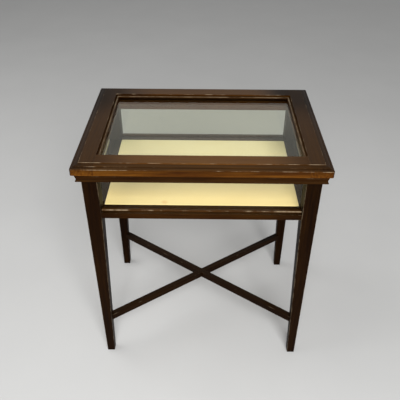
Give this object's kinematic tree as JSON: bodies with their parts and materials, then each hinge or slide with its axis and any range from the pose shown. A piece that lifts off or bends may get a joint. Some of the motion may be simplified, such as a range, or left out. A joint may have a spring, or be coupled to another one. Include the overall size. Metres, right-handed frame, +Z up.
{
  "type": "display table",
  "caption": "Glazed collectors display table: a shallow glass-sided case with a hinged glazed lid, on tapering legs joined by crossed stretchers.",
  "frame": {"origin": "on the floor, under the middle of the lid", "axes": "+Z up, +X to the right as seen from the front, +Y to the back, where the hinges are"},
  "size_m": [0.625, 0.457, 0.6981],
  "materials": {
    "mahogany": "French polished, worn",
    "glass": "clear",
    "cream_cloth": "matt",
    "pale_wood": "unpolished",
    "brass": "satin"
  },
  "bodies": {
    "case": {"base_board": "pale_wood", "bottom_rail_back": "mahogany", "bottom_rail_front": "mahogany", "bottom_rail_left": "mahogany", "bottom_rail_right": "mahogany", "display_board": "cream_cloth", "frieze_moulding_front": "mahogany", "frieze_moulding_left": "mahogany", "frieze_moulding_right": "mahogany", "hinge_left_case_leaf": "brass", "hinge_left_case_screw_1": "brass", "hinge_left_case_screw_2": "brass", "hinge_left_pin": "brass", "hinge_right_case_leaf": "brass", "hinge_right_case_screw_1": "brass", "hinge_right_case_screw_2": "brass", "hinge_right_pin": "brass", "leg_back_left": "mahogany", "leg_back_right": "mahogany", "leg_front_left": "mahogany", "leg_front_right": "mahogany", "pane_back": "glass", "pane_bead_back": "mahogany", "pane_bead_front": "mahogany", "pane_bead_left": "mahogany", "pane_bead_right": "mahogany", "pane_front": "glass", "pane_left": "glass", "pane_right": "glass", "stretcher_lower": "mahogany", "stretcher_upper": "mahogany", "top_rail_back": "mahogany", "top_rail_front": "mahogany", "top_rail_left": "mahogany", "top_rail_right": "mahogany"},
    "lid": {"hinge_left_lid_leaf": "brass", "hinge_left_lid_screw_1": "brass", "hinge_left_lid_screw_2": "brass", "hinge_right_lid_leaf": "brass", "hinge_right_lid_screw_1": "brass", "hinge_right_lid_screw_2": "brass", "lid_bead_back": "mahogany", "lid_bead_front": "mahogany", "lid_bead_left": "mahogany", "lid_bead_right": "mahogany", "lid_glass": "glass", "lid_rail_back": "mahogany", "lid_rail_front": "mahogany", "lid_stile_left": "mahogany", "lid_stile_right": "mahogany"}
  },
  "joints": [
    {"name": "lid_hinge", "type": "hinge", "parent": "case", "child": "lid", "pos_m": [0, 0.2126, 0.67235], "axis": [-1, 0, 0], "range_deg": [0, 98]}
  ]
}
